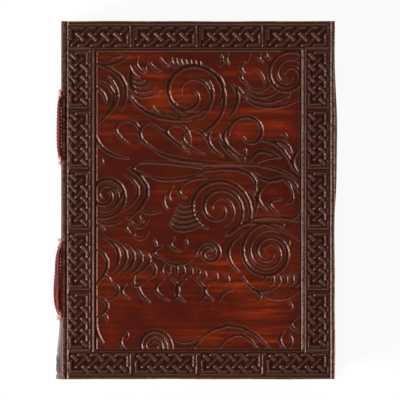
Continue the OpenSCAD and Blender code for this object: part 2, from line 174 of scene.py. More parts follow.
# The tear wanders in waves of 11 mm along a leaf, and differs from each leaf to the next
stretch = add(stack, "ShaderNodeVectorMath", {0: where.outputs[0], 1: (90, 90, 2400)}, operation="MULTIPLY")
ragged = add(stack, "ShaderNodeTexNoise", {"Vector": stretch.outputs[0], "Scale": 1.0, "Detail": 3.0})
centred = add(stack, "ShaderNodeVectorMath", {0: ragged.outputs["Color"], 1: (0.5, 0.5, 0.5)},
              operation="SUBTRACT")
flat = add(stack, "ShaderNodeVectorMath", {0: centred.outputs[0], 1: (2.6, 2.6, 0)}, operation="MULTIPLY")
sized = add(stack, "ShaderNodeVectorMath", {0: flat.outputs[0], "Scale": given["Deckle"]}, operation="SCALE")
torn = add(stack, "GeometryNodeSetPosition", {"Geometry": real.outputs[0], "Offset": sized.outputs[0]})
dressed = add(stack, "GeometryNodeSetMaterial", {"Geometry": torn.outputs[0], "Material": rag_paper})
add(stack, "NodeGroupOutput", {"Pages": dressed.outputs[0]})


def grown(piece, tree, values):
    """Runs a Geometry Nodes tree on a piece and leaves the result as a plain mesh piece."""
    modifier = piece.modifiers.new(tree.name, "NODES")
    modifier.node_group = tree
    for item in tree.interface.items_tree:
        if item.in_out == "INPUT" and item.name in values:
            modifier[item.identifier] = values[item.name]
    bpy.context.view_layer.update()
    evaluated = piece.evaluated_get(bpy.context.evaluated_depsgraph_get())
    mesh = bpy.data.meshes.new_from_object(evaluated)
    name = piece.name
    bpy.data.objects.remove(piece)
    result = bpy.data.objects.new(name, mesh)
    bpy.context.scene.collection.objects.link(result)
    return result


pages = grown(pages, stack, {"Pitch": section_t, "Lowest": paper_lo.z, "Deckle": deckle,
                             "Count": section_count})
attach(pages, "spine_and_pages")
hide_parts("page_block")

# Stamped covers
# One hide of buffalo leather, dyed brown and stamped hot: knotwork round the edge, scrollwork in the
# middle. Each cover is a slab of it, cut with a knife at three edges and rounded over at the fold.
front_lo, front_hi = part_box("front_cover")
leather_t = front_hi.z - front_lo.z
fold_r = leather_t / 2
cut_r = 0.7 * MM
stamp_depth = 0.8 * MM
sample = 0.225 * MM
# Distance from which rays are cast at a surface
stand_off = 10 * MM
# Strip beside the fold where the solid is rounded and the stamp can't be felt
fold_strip = 2 * MM


def surface_of(node):
    """The tree in which rays are cast at a CAD node."""
    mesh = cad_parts[node].data
    return BVHTree.FromPolygons([v.co for v in mesh.vertices], [p.vertices for p in mesh.polygons])


def blurred(field, sigma):
    """Gaussian blur of a grid, with sigma in cells."""
    reach = int(math.ceil(3 * sigma))
    weights = np.exp(-0.5 * (np.arange(-reach, reach + 1) / sigma) ** 2)
    weights /= weights.sum()
    for axis in (0, 1):
        padded = np.pad(field, [(reach, reach) if a == axis else (0, 0) for a in (0, 1)], mode="edge")
        size = field.shape[axis]
        field = sum(w * np.take(padded, range(k, k + size), axis=axis) for k, w in enumerate(weights))
    return field


# The depth of the stamp is felt on the CAD cover point by point
front_surface = surface_of("front_cover")
down = Vector((0, 0, -1))
feel_z = front_hi.z + stand_off
sample_x = np.arange(front_lo.x + sample / 2, front_hi.x, sample)
sample_y = np.arange(front_lo.y + sample / 2, front_hi.y, sample)
depth = np.zeros((len(sample_x), len(sample_y)))
for i, x in enumerate(sample_x):
    hits = [front_surface.ray_cast(Vector((x, y, feel_z)), down, leather_t + stand_off)[3] for y in sample_y]
    depth[i] = [stand_off if hit is None else hit for hit in hits]
pressed = np.clip((depth - stand_off) / stamp_depth, 0, 1)
edge_cells = int(fold_strip / sample)
pressed[:edge_cells] = pressed[edge_cells]
# The same depth at four widths of blur: the groove itself, the lip it throws up, and the painted shade and
# dye round it
fine = blurred(pressed, 0.2 * MM / sample)
lip = blurred(pressed, 0.8 * MM / sample) - fine
soft = blurred(pressed, 1.5 * MM / sample)
wide = blurred(pressed, 3.2 * MM / sample)


def at(field, x, y):
    """Reads a sampled field at a grid of places, by the four samples round each."""
    u = np.clip((x - sample_x[0]) / sample, 0, len(sample_x) - 1.001)
    v = np.clip((y - sample_y[0]) / sample, 0, len(sample_y) - 1.001)
    i, j = u.astype(int), v.astype(int)
    a, b = u - i, v - j
    return ((1 - a) * (1 - b) * field[i, j] + a * (1 - b) * field[i + 1, j]
            + (1 - a) * b * field[i, j + 1] + a * b * field[i + 1, j + 1])


def grid_lines(lo, hi, step, lo_round, hi_round):
    """Even grid lines that crowd together where an edge is rounded."""
    crowd = np.array([0, 0.1, 0.3, 0.6])
    count = int(round((hi - hi_round - lo - lo_round) / step)) + 1
    even = np.linspace(lo + lo_round, hi - hi_round, count)
    return np.concatenate([lo + lo_round * crowd, even, hi - hi_round * crowd[::-1]])


def loop_round(index, i0, i1, j0, j1):
    """The points round a rectangle of the grid, counter-clockwise."""
    return np.concatenate([index[i0:i1, j0], index[i1, j0:j1], index[i1:i0:-1, j1], index[i0, j1:j0:-1]])


def quads_of(index, keep):
    """A face for each kept cell of the grid, turned to face up."""
    cells = np.stack([index[:-1, :-1], index[1:, :-1], index[1:, 1:], index[:-1, 1:]], -1)
    return cells[keep].tolist()


def wall(upper, lower):
    """Faces between two loops, turned outwards where the upper loop runs counter-clockwise."""
    return np.stack([upper, lower, np.roll(lower, -1), np.roll(upper, -1)], -1).tolist()


# Vegetable tanned leather, hand stained and glazed: dark dye stays in the hollows, painted shade and some
# dye darken it round the lines, painted highlights and some wear pale its ridges and raised lines, the raised
# skin is rubbed back to red, and the glaze gives a satin shine
stained_leather = bpy.data.materials.new("Stained and glazed vegetable tanned leather")
stained_leather.use_nodes = True
tree = stained_leather.node_tree
shader = tree.nodes["Principled BSDF"]
# What the mesh tells the material, from 0 to 1: the floor of a groove, the painted shade and dye round it,
# the lip beside it with its painted highlight, the scroll field, the lines with painted highlights and some
# wear from rubbing, the dull leather under the cords, and the polish of hands
hollow, shade, ridge, scroll, highlight_and_wear, dull, polish = [
    add(tree, "ShaderNodeAttribute", attribute_name=label).outputs["Fac"]
    for label in ("hollow", "shade", "ridge", "scroll", "highlight_and_wear", "dull", "polish")]
# Brushed streaks 3 mm wide and 55 mm long, clouds of dye 40 mm across, pores of 0.7 mm, drawn coarser than
# real ones so that they show, and mottling of 1.5 to 2.5 mm
streaks = stretched_noise(tree, (18, 330, 40), 5.0, 0.6)
clouds = stretched_noise(tree, (22, 30, 30), 3.0, 0.5)
pores = stretched_noise(tree, (1500, 1500, 1500), 3.0, 0.6)
mottling = stretched_noise(tree, (420, 700, 700), 4.0, 0.7)
streaky = add(tree, "ShaderNodeValToRGB", {"Fac": streaks},
              stops=[(0.36, "3e1006"), (0.52, "5e1a08"), (0.70, "8a2c0b")])
cloudy = add(tree, "ShaderNodeValToRGB", {"Fac": clouds}, stops=[(0.40, "000000"), (0.62, "ffffff")])
red_skin = add(tree, "ShaderNodeMix",
               {0: cloudy.outputs[0], 6: linear("400f07"), 7: streaky.outputs[0]}, data_type="RGBA")
brown_skin = add(tree, "ShaderNodeValToRGB", {"Fac": clouds}, stops=[(0.35, "220c07"), (0.65, "35150d")])
skin = add(tree, "ShaderNodeMix",
           {0: scroll, 6: brown_skin.outputs[0], 7: red_skin.outputs[2]}, data_type="RGBA")
patchy = add(tree, "ShaderNodeMapRange", {"Value": mottling, "From Min": 0.35, "From Max": 0.6})
patchy_highlight_and_wear = add(tree, "ShaderNodeMath", {0: highlight_and_wear, 1: patchy.outputs[0]}, operation="MULTIPLY")
# Stains, wear, painted shade and painted highlights, each laid over the ones before: where it lies, how
# strongly it shows, and its colour
for place, strength, colour in (
        (mottling, [(0.45, "909090"), (0.62, "000000")], "1e0804"),
        # painted shade, with some dye, round the stamped lines
        (shade, [(0.05, "000000"), (0.7, "d0d0d0")], "260c05"),
        (hollow, [(0.45, "000000"), (1.0, "a0a0a0")], "120502"),
        # painted highlight on the lip beside each groove and on the crests of strands, with a little wear
        (ridge, [(0.75, "000000"), (1.0, "484848")], "8a5c50"),
        # pale painted highlights along the raised lines and edges, broken up by mottling, with some wear from
        # rubbing
        (patchy_highlight_and_wear.outputs[0], [(0.15, "000000"), (0.8, "c8c8c8")], "a07e74")):
    share = add(tree, "ShaderNodeValToRGB", {"Fac": place}, stops=strength)
    skin = add(tree, "ShaderNodeMix", {0: share.outputs[0], 6: skin.outputs[2], 7: linear(colour)},
               data_type="RGBA")
tree.links.new(skin.outputs[2], shader.inputs["Base Color"])
gloss = add(tree, "ShaderNodeMapRange", {"Value": hollow, "From Min": 0.6, "To Min": 0.3, "To Max": 0.5})
tree.links.new(gloss.outputs[0], shader.inputs["Roughness"])
shine = add(tree, "ShaderNodeMapRange", {"Value": hollow, "From Min": 0.6, "To Min": 0.58, "To Max": 0.15})
kept = add(tree, "ShaderNodeMath", {0: 1.0, 1: dull}, operation="SUBTRACT")
shine = add(tree, "ShaderNodeMath", {0: shine.outputs[0], 1: kept.outputs[0]}, operation="MULTIPLY")
tree.links.new(shine.outputs[0], shader.inputs["Specular IOR Level"])
shader.inputs["Specular Tint"].default_value = linear("d8a894")
coat = add(tree, "ShaderNodeMath", {0: polish, 1: 0.4}, operation="MULTIPLY")
tree.links.new(coat.outputs[0], shader.inputs["Coat Weight"])
shader.inputs["Coat Roughness"].default_value = 0.2
height = add(tree, "ShaderNodeMath", {0: pores, 1: streaks}, operation="ADD")
grain = add(tree, "ShaderNodeBump", {"Height": height.outputs[0], "Strength": 0.5, "Distance": 0.00025})
tree.links.new(grain.outputs[0], shader.inputs["Normal"])

# Flesh side of the hide: undyed in the middle of its thickness, brushed to a short brown nap
flesh_side = bpy.data.materials.new("Brushed flesh side of leather")
flesh_side.use_nodes = True
tree = flesh_side.node_tree
shader = tree.nodes["Principled BSDF"]
# Tufts of 1.4 mm, drawn coarser than real ones so that they show, over patches 40 mm across
nap = stretched_noise(tree, (700, 700, 700), 6.0, 0.7)
patches = stretched_noise(tree, (25, 25, 25), 3.0, 0.5)
patchy = add(tree, "ShaderNodeValToRGB", {"Fac": patches}, stops=[(0.35, "000000"), (0.65, "ffffff")])
pale_nap = add(tree, "ShaderNodeValToRGB", {"Fac": nap}, stops=[(0.35, "573622"), (0.65, "7d563c")])
dark_nap = add(tree, "ShaderNodeValToRGB", {"Fac": nap}, stops=[(0.35, "432718"), (0.65, "68442e")])
nap_tone = add(tree, "ShaderNodeMix",
               {0: patchy.outputs[0], 6: pale_nap.outputs[0], 7: dark_nap.outputs[0]}, data_type="RGBA")
tree.links.new(nap_tone.outputs[2], shader.inputs["Base Color"])
shader.inputs["Roughness"].default_value = 0.95
shader.inputs["Sheen Weight"].default_value = 0.25
nap_bump = add(tree, "ShaderNodeBump", {"Height": nap, "Strength": 0.6, "Distance": 0.0004})
tree.links.new(nap_bump.outputs[0], shader.inputs["Normal"])

# Knife-cut edge: stained dark like the face, and fibrous, with fibres 2.5 mm long and half a millimetre thick
cut_edge = bpy.data.materials.new("Stained cut edge of leather")
cut_edge.use_nodes = True
tree = cut_edge.node_tree
shader = tree.nodes["Principled BSDF"]
fibre = stretched_noise(tree, (400, 400, 1800), 4.0, 0.6)
tone = add(tree, "ShaderNodeValToRGB", {"Fac": fibre}, stops=[(0.3, "2c130c"), (0.75, "5a3426")])
tree.links.new(tone.outputs[0], shader.inputs["Base Color"])
shader.inputs["Roughness"].default_value = 0.6
edge_bump = add(tree, "ShaderNodeBump", {"Height": fibre, "Strength": 0.5, "Distance": 0.0003})
tree.links.new(edge_bump.outputs[0], shader.inputs["Normal"])

# The scroll field ends at its frame line, where the leather slab is split into two pieces
cover_step = 0.45 * MM
# Half the width and height of the scroll field, its pocket in the border, and the play under its slab
field_x = 57.9 * MM
field_y = 84.9 * MM
pocket = 1.7 * MM
pocket_play = 0.02 * MM
# Shares of the stamp's depth: the groove, the lip beside it, and the soft dip round it
relief_line = 0.8
relief_lip = 0.55
relief_pillow = 0.4
# Strips inside the fore edge and the ends over which the wander of the knife fades out
fore_strip_x = 73.5 * MM
end_strip_y = 98.5 * MM
knife_trim = 0.15 * MM
knife_wander = 0.12 * MM
# Rounding between a cut edge and the flesh side, and the strip in which it grows to that of the fold
flesh_r = 0.4 * MM
growth_strip = 4 * MM
# Rounding of the corners, with a little to spare
corner_room = 1.3 * MM
grid_x = grid_lines(front_lo.x, front_hi.x, cover_step, fold_r, cut_r)
grid_y = grid_lines(front_lo.y, front_hi.y, cover_step, cut_r, cut_r)
i0, i1 = [int(np.argmin(abs(grid_x - side * field_x))) for side in (-1, 1)]
j0, j1 = [int(np.argmin(abs(grid_y - side * field_y))) for side in (-1, 1)]
X, Y = np.meshgrid(grid_x, grid_y, indexing="ij")
index = np.arange(X.size).reshape(X.shape)
in_field = np.zeros((len(grid_x) - 1, len(grid_y) - 1), bool)
in_field[i0:i1, j0:j1] = True


def rounding(distance, radius):
    """How far a rounded edge has dropped at a distance from the outline."""
    inside = np.clip(radius - distance, 0, radius)
    return radius - np.sqrt(radius ** 2 - inside ** 2)


def line_at(distance, place, half_width):
    """A soft line of the given half width at a place."""
    return np.clip(1.15 - abs(distance - place) / half_width, 0, 1)


# Lines painted pale as highlights along the raised rims, the bead line and the edges, with some wear from
# rubbing: distance, place, half width and strength
highlight_and_wear_lines = [
    (front_hi.x - X, 0.45 * MM, 0.7 * MM, 1),
    (front_hi.x - X, 2.1 * MM, 0.55 * MM, 1),
    (X - front_lo.x, 3.8 * MM, 0.7 * MM, 1),
    (X - front_lo.x, 1.5 * MM, 0.5 * MM, 0.6),
    (X, 59.3 * MM, 0.8 * MM, abs(Y) < field_y),
    (front_hi.y - abs(Y), 0.3 * MM, 0.6 * MM, 0.5)]
sunken = relief_line * fine + relief_pillow * soft - relief_lip * np.maximum(lip, 0)
press = at(sunken, X, Y)
local = press - at(blurred(sunken, 0.8 * MM / sample), X, Y)
# The factors bring each depth to a range from 0 to 1
attributes = {
    "hollow": np.clip(at(fine, X, Y), 0, 1),
    # painted shade round the lines, with some dye
    "shade": np.clip(at(wide, X, Y) * 1.6 + at(soft, X, Y) * 0.6, 0, 1),
    # painted highlight on the lips and crests
    "ridge": np.clip(-local / 0.22, 0, 1),
    "scroll": np.clip((np.minimum(field_x - abs(X), field_y - abs(Y)) / MM + 0.5), 0, 1),
    # painted highlights, with some wear from rubbing, along the lines listed above
    "highlight_and_wear": np.maximum.reduce([strength * line_at(distance, place, half_width)
                               for distance, place, half_width, strength in highlight_and_wear_lines])}
drop = np.maximum.reduce([rounding(X - front_lo.x, fold_r), rounding(front_hi.x - X, cut_r),
                          rounding(Y - front_lo.y, cut_r), rounding(front_hi.y - Y, cut_r)])


def cover(name, body, node, outside_z, up):
    """Makes the border and the scroll field of one cover. Its stamped face looks up or down."""
    felt = surface_of(node)
    middle_z = outside_z - up * leather_t / 2
    far = front_hi.x + 2 * stand_off
    cut = []
    for y in grid_y:
        held = min(max(y, front_lo.y + corner_room), front_hi.y - corner_room)
        cut.append(far - felt.ray_cast(Vector((far, held, middle_z)), Vector((-1, 0, 0)))[3])
    wobble = knife_wander * (np.sin(grid_y * 61) + np.sin(grid_y * 143 + 1))
    fore_edge = np.array(cut) - knife_trim + wobble
    share = np.clip((X - fore_strip_x) / (front_hi.x - fore_strip_x), 0, 1)
    x = X + share * (fore_edge[None, :] - front_hi.x)
    ends = np.clip((abs(Y) - end_strip_y) / (front_hi.y - end_strip_y), 0, 1)
    y = Y - ends * np.sign(Y) * knife_wander * (1 + np.sin(X * 47 + np.sign(Y)) * np.sin(X * 101))
    z = outside_z - up * (stamp_depth * press + drop)
    top = np.stack([x, y, z], -1).reshape(-1, 3)

    # Outer wall, from the rounded top edge down to the flesh side
    rim = loop_round(index, 0, len(grid_x) - 1, 0, len(grid_y) - 1)
    near_fold = np.clip(1 - (top[rim, 0] - front_lo.x) / growth_strip, 0, 1)
    radius = flesh_r + (fold_r - flesh_r) * near_fold
    rim_x, rim_y = X.reshape(-1)[rim], Y.reshape(-1)[rim]
    near = 0.001 * MM
    out_x = np.where(rim_x < front_lo.x + near, -1, np.where(rim_x > front_hi.x - near, 1, 0))
    out_y = np.where(rim_y < front_lo.y + near, -1, np.where(rim_y > front_hi.y - near, 1, 0))
    inside_z = outside_z - up * leather_t
    points = [top]
    loops = [rim]
    for angle in np.radians([12, 30, 50, 70, 90]):
        ring = top[rim].copy()
        ring[:, 0] -= out_x * radius * (1 - np.cos(angle))
        ring[:, 1] -= out_y * flesh_r * (1 - np.cos(angle))
        ring[:, 2] = inside_z + up * radius * (1 - np.sin(angle))
        loops.append(sum(len(p) for p in points) + np.arange(len(rim)))
        points.append(ring)
    faces = quads_of(index, ~in_field)
    slots = [0] * len(faces)
    # The wall shows the flesh side at the fold and the cut edge elsewhere
    for upper, lower in zip(loops, loops[1:]):
        faces += wall(upper, lower)
        slots += np.where(near_fold > 0.3, 1, 2).tolist()
    faces.append(loops[-1][::-1].tolist())
    slots.append(1)

    # Pocket that holds the slab of the scroll field
    inner = loop_round(index, i0, i1, j0, j1)
    floor = top[inner].copy()
    floor[:, 2] = outside_z - up * pocket
    floor_loop = sum(len(p) for p in points) + np.arange(len(inner))
    points.append(floor)
    faces += [face[::-1] for face in wall(inner, floor_loop)]
    faces.append(floor_loop.tolist())
    slots += [1] * (len(inner) + 1)
    all_points = np.concatenate(points)
    if up < 0:
        faces = [face[::-1] for face in faces]
    border, used = mesh_piece(name + "_border", all_points.tolist(), faces,
                              [stained_leather, flesh_side, cut_edge], slots)

    faces = quads_of(index, in_field)
    slots = [0] * len(faces)
    sunk = floor.copy()
    sunk[:, 2] += up * pocket_play
    sunk_loop = len(top) + np.arange(len(inner))
    faces += wall(inner, sunk_loop)
    faces.append(sunk_loop[::-1].tolist())
    slots += [1] * (len(inner) + 1)
    if up < 0:
        faces = [face[::-1] for face in faces]
    scroll_field, used_field = mesh_piece(name + "_scrollwork", np.concatenate([top, sunk]).tolist(), faces,
                                          [stained_leather, flesh_side], slots)
    for piece, kept in ((border, used), (scroll_field, used_field)):
        for label, values in attributes.items():
            flat = np.append(values.reshape(-1), np.zeros(len(all_points)))
            layer = piece.data.attributes.new(label, "FLOAT", "POINT")
            layer.data.foreach_set("value", flat[kept].astype(np.float32))
        for polygon in piece.data.polygons:
            if len(polygon.vertices) > 4:
                polygon.use_smooth = False
        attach(piece, body)
        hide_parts(node)


cover("front_cover", "front_flap", "front_cover", front_hi.z, 1)
back_lo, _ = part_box("back_cover")
cover("back_cover", "back_flap", "back_cover", back_lo.z, -1)

# Spine leather
# The same hide between the covers, bent to a flat arc. The binder cut four slots through it, and the
# leather bulges more towards the tail, where the book is handled.

# Raw leather, where the dye never reached: tan, in fibres of half a millimetre
raw_leather = bpy.data.materials.new("Raw undyed leather")
raw_leather.use_nodes = True
tree = raw_leather.node_tree
shader = tree.nodes["Principled BSDF"]
strands = stretched_noise(tree, (1800, 1800, 1800), 3.0)
tone = add(tree, "ShaderNodeValToRGB", {"Fac": strands}, stops=[(0.35, "96705a"), (0.65, "e2c4ae")])
tree.links.new(tone.outputs[0], shader.inputs["Base Color"])
shader.inputs["Roughness"].default_value = 0.85
spine_lo, spine_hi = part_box("spine")
spine_surface = surface_of("spine")
spine_step = 0.5 * MM
spine_ys = np.linspace(spine_lo.y, spine_hi.y, int((spine_hi.y - spine_lo.y) / spine_step) + 1)
spine_zs = np.linspace(spine_lo.z, spine_hi.z, int((spine_hi.z - spine_lo.z) / spine_step) + 1)
fold_line_x = front_lo.x
probe_x = spine_lo.x - stand_off
right = Vector((1, 0, 0))
# A ray stops before it could reach the pages through a slot, and keeps clear of the ends of the solid
reach = leather_t + stand_off + 4 * MM
end_room = 0.05 * MM
outer = np.zeros((len(spine_ys), len(spine_zs)))
for j, y in enumerate(spine_ys):
    y_in = min(max(y, spine_lo.y + end_room), spine_hi.y - end_room)
    for k, z in enumerate(spine_zs):
        z_in = min(max(z, spine_lo.z + end_room), spine_hi.z - end_room)
        hit = spine_surface.ray_cast(Vector((probe_x, y_in, z_in)), right, reach)[3]
        outer[j, k] = np.nan if hit is None else probe_x + hit
open_slot = np.isnan(outer)
base = np.nanmedian(outer, axis=0)
# What stands out of the median arc is the stamp and the rims of the slots, a little softened
relief = np.where(open_slot, 0, outer - base[None, :])
relief = blurred(relief, 0.35 * MM / spine_step)
cad_bulge = fold_line_x - base.min()
# Bulge at the head, and what the body and the tail add to it
head_bulge = 0.4 * MM
body_swell = 1.0 * MM
tail_flare = 2.0 * MM


def eased(start, length):
    """Rises from 0 to 1 along the spine, from a start below the middle of the book."""
    s = np.clip((-spine_ys - start) / length, 0, 1)
    return s * s * (3 - 2 * s)


bulge = head_bulge + body_swell * eased(10 * MM, 60 * MM) + tail_flare * eased(70 * MM, 24 * MM)
shape = (fold_line_x - base) / cad_bulge
shift = cad_bulge - bulge
skin_x = base[None, :] + relief + shift[:, None] * shape[None, :]
flesh_x = base[None, :] + shift[:, None] * shape[None, :] + leather_t
index = np.arange(skin_x.size).reshape(skin_x.shape)
YY, ZZ = np.meshgrid(spine_ys, spine_zs, indexing="ij")
keep = ~(open_slot[:-1, :-1] | open_slot[1:, :-1] | open_slot[:-1, 1:] | open_slot[1:, 1:])
skin_points = np.stack([skin_x, YY, ZZ], -1).reshape(-1, 3)
skin_points = np.where(np.isnan(skin_points), 0, skin_points)
flesh_points = np.stack([flesh_x, YY, ZZ], -1).reshape(-1, 3)
outside = np.stack([index[:-1, :-1], index[:-1, 1:], index[1:, 1:], index[1:, :-1]], -1)[keep]
skin_count = skin_x.size
faces = outside.tolist() + (outside[:, ::-1] + skin_count).tolist()
slots = [0] * len(outside) + [1] * len(outside)
# An edge that only one face uses is on the outline or on the rim of a slot
edges = dict.fromkeys((face[n], face[(n + 1) % 4]) for face in outside.tolist() for n in range(4))
rims = [(a, b) for a, b in edges if (b, a) not in edges]
outline = set(index[0]) | set(index[-1]) | set(index[:, 0]) | set(index[:, -1])
slot_rims = [rim for rim in rims if not outline & set(rim)]
faces += [[b, a, a + skin_count, b + skin_count] for a, b in rims]
slots += [2 if outline & set(rim) else 3 for rim in rims]
spine, used = mesh_piece("spine_leather", np.concatenate([skin_points, flesh_points]).tolist(), faces,
                         [stained_leather, flesh_side, cut_edge, raw_leather], slots)
spine_pressed = np.clip(relief / stamp_depth, 0, 1).reshape(-1)
cord_spans = [[corner.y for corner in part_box(node)] for node in ("upper_stitch_1", "lower_stitch_1")]


def under_cords(y):
    """1 where the cords keep the leather dull, and 0 elsewhere."""
    return np.maximum.reduce([(y > lo) & (y < hi) for lo, hi in cord_spans]).astype(float)


# Hands polish the leather where it flares out towards the tail
handled = np.tile((0.15 + 0.85 * eased(66 * MM, 20 * MM))[:, None], (1, len(spine_zs)))
# The stamp on the spine: dye in its hollows, and painted shade at half that strength
spine_values = {"hollow": spine_pressed, "shade": spine_pressed * 0.5,
                "ridge": np.zeros(skin_count), "scroll": np.zeros(skin_count), "highlight_and_wear": np.zeros(skin_count),
                "dull": under_cords(YY).reshape(-1),
                "polish": (handled * (1 - under_cords(YY))).reshape(-1)}
for label, values in spine_values.items():
    layer = spine.data.attributes.new(label, "FLOAT", "POINT")
    layer.data.foreach_set("value", np.concatenate([values, values])[used].astype(np.float32))
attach(spine, "spine_and_pages")
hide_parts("spine")

# Folds of the leather
# The leather runs on from the spine into each cover. A thin skin lies over the joint of the solids,
# darkened with painted shade, with a painted highlight and some wear from rubbing along its crest, and bent
# round the knuckle.

# Rows of points up the spine and round the knuckle, and the row of the crest
spine_rows = 4
knuckle_rows = 9
crest_row = spine_rows + knuckle_rows - 1
# How far the skin stands off the solids, and how far its inner face sinks into them
fold_lift = 0.12 * MM
fold_sink = 0.2 * MM


def skin_at(y, z):
    """The outside of the spine leather at a place along it and a height."""
    level = np.interp(z, spine_zs, shape)
    return fold_line_x - np.interp(y, spine_ys, bulge) * level


def fold_layer(ys, hinge_z, up, lift):
    """One face of a fold's skin: up the spine, round the knuckle and a little way over the cover."""
    hinge_x = front_lo.x + fold_r
    rows = []
    # The skin tapers off on the spine and again on the cover
    for below in np.linspace(2.8, 1.6, spine_rows) * MM:
        z = hinge_z - up * below
        rise = lift * (1 - 0.8 * max(0, below - 1.8 * MM) / MM)
        rows.append(np.stack([skin_at(ys, z) - rise, ys, np.full(len(ys), z)], -1))
    for turn in np.radians(np.linspace(0, 90, knuckle_rows)):
        x = hinge_x - (fold_r + lift) * math.cos(turn)
        dent = stamp_depth * at(sunken, np.full(len(ys), max(x, front_lo.x)), ys)
        z = hinge_z + up * (fold_r + lift - dent) * math.sin(turn)
        rows.append(np.stack([np.full(len(ys), x), ys, z], -1))
    for beyond in (0.5, 1.0, 1.5):
        x = hinge_x + beyond * MM
        dent = stamp_depth * at(sunken, np.full(len(ys), x), ys)
        z = hinge_z + up * (fold_r + lift * (1 - 0.55 * beyond) - dent)
        rows.append(np.stack([np.full(len(ys), x), ys, z], -1))
    return np.array(rows)


def fold_skin(name, hinge_z, up):
    """Makes the skin over one fold and bends it between the spine and the flap."""
    ys = np.linspace(front_lo.y + 0.45 * MM, front_hi.y - 0.45 * MM, 260)
    outer_face = fold_layer(ys, hinge_z, up, fold_lift)
    inner_face = fold_layer(ys, hinge_z, up, -fold_sink)
    index = np.arange(outer_face.shape[0] * len(ys)).reshape(-1, len(ys))
    loop = loop_round(index, 0, index.shape[0] - 1, 0, index.shape[1] - 1)
    everywhere = np.ones((index.shape[0] - 1, index.shape[1] - 1), bool)
    faces = quads_of(index, everywhere) + [f[::-1] for f in quads_of(index + index.size, everywhere)]
    faces += wall(loop, loop + index.size)
    if up < 0:
        faces = [face[::-1] for face in faces]
    points = np.concatenate([outer_face.reshape(-1, 3), inner_face.reshape(-1, 3)])
    skin, _ = mesh_piece(name, points.tolist(), faces, [stained_leather])
    # Painted shade over the whole skin, and a painted highlight with some wear from rubbing along the crest
    crest = np.exp(-((np.arange(index.shape[0]) - crest_row) / 1.5) ** 2)
    crest = np.tile(np.repeat(crest, len(ys)), 2)
    for label, values in (("hollow", 0 * crest), ("shade", 0 * crest + 0.3), ("ridge", 0.8 * crest),
                          ("scroll", 0 * crest), ("highlight_and_wear", 0.45 * crest),
                          ("dull", np.tile(under_cords(ys), 2 * index.shape[0]))):
        layer = skin.data.attributes.new(label, "FLOAT", "POINT")
        layer.data.foreach_set("value", values.astype(np.float32))
    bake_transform(skin)


fold_skin("front_fold", front_hi.z - fold_r, 1)
fold_skin("back_fold", back_lo.z + fold_r, -1)

# Frayed slots
# Knife and awl tore the raw leather round each slot into short curled fibres.
fray = bpy.data.node_groups.new("Frayed rim", "GeometryNodeTree")
fray.interface.new_socket("Rim", in_out="INPUT", socket_type="NodeSocketGeometry")
for label in ("Spacing", "Fibre length", "Fibre radius", "Curl", "Lowest", "Highest"):
    fray.interface.new_socket(label, in_out="INPUT", socket_type="NodeSocketFloat")
fray.interface.new_socket("Fibres", in_out="OUTPUT", socket_type="NodeSocketGeometry")
given = add(fray, "NodeGroupInput").outputs
rim_line = add(fray, "GeometryNodeMeshToCurve", {"Mesh": given["Rim"]})
roots = add(fray, "GeometryNodeResampleCurve", {"Curve": rim_line.outputs[0], "Length": given["Spacing"]},
            mode="LENGTH")
fibre_form = add(fray, "GeometryNodeMeshCone",
                 {"Vertices": 4, "Side Segments": 3, "Radius Top": 0.0,
                  "Radius Bottom": given["Fibre radius"], "Depth": given["Fibre length"]})
# Fibres lean out of the slot to every side, between these turns in radians
aim = add(fray, "FunctionNodeRandomValue", {0: (-0.6, -2.3, -1.0), 1: (0.6, -0.9, 1.0)},
          data_type="FLOAT_VECTOR")
aim = add(fray, "FunctionNodeEulerToRotation", {0: aim.outputs[0]})
length = add(fray, "FunctionNodeRandomValue", {2: 0.3, 3: 1.0, "Seed": 5}, data_type="FLOAT")
planted = add(fray, "GeometryNodeInstanceOnPoints",
              {"Points": roots.outputs[0], "Instance": fibre_form.outputs[0], "Rotation": aim.outputs[0],
               "Scale": length.outputs[1]})
real = add(fray, "GeometryNodeRealizeInstances", {"Geometry": planted.outputs[0]})
where = add(fray, "GeometryNodeInputPosition")
# A fibre curls about once in its length, so the noise has 1400 cycles per metre
close = add(fray, "ShaderNodeVectorMath", {0: where.outputs[0], "Scale": 1400.0}, operation="SCALE")
noise = add(fray, "ShaderNodeTexNoise", {"Vector": close.outputs[0], "Scale": 1.0, "Detail": 1.0})
centred = add(fray, "ShaderNodeVectorMath", {0: noise.outputs["Color"], 1: (0.5, 0.5, 0.5)},
              operation="SUBTRACT")
sized = add(fray, "ShaderNodeVectorMath", {0: centred.outputs[0], "Scale": given["Curl"]}, operation="SCALE")
curled = add(fray, "GeometryNodeSetPosition", {"Geometry": real.outputs[0], "Offset": sized.outputs[0]})
# The covers press the fibres down, so none stands above or below the spine
loose = add(fray, "ShaderNodeSeparateXYZ", {0: add(fray, "GeometryNodeInputPosition").outputs[0]})
level = add(fray, "ShaderNodeClamp", {"Value": loose.outputs["Z"], "Min": given["Lowest"],
                                      "Max": given["Highest"]})
settled = add(fray, "ShaderNodeCombineXYZ", {"X": loose.outputs["X"], "Y": loose.outputs["Y"],
                                             "Z": level.outputs[0]})
between = add(fray, "GeometryNodeSetPosition",
              {"Geometry": curled.outputs[0], "Position": settled.outputs[0]})
dressed = add(fray, "GeometryNodeSetMaterial", {"Geometry": between.outputs[0], "Material": raw_leather})
add(fray, "NodeGroupOutput", {"Fibres": dressed.outputs[0]})

rim_points = sorted({i for rim in slot_rims for i in rim})
rim_place = {old: new for new, old in enumerate(rim_points)}
root_points = [skin_points[i] for i in rim_points]
root_lines = [[rim_place[i] for i in rim] for rim in slot_rims]
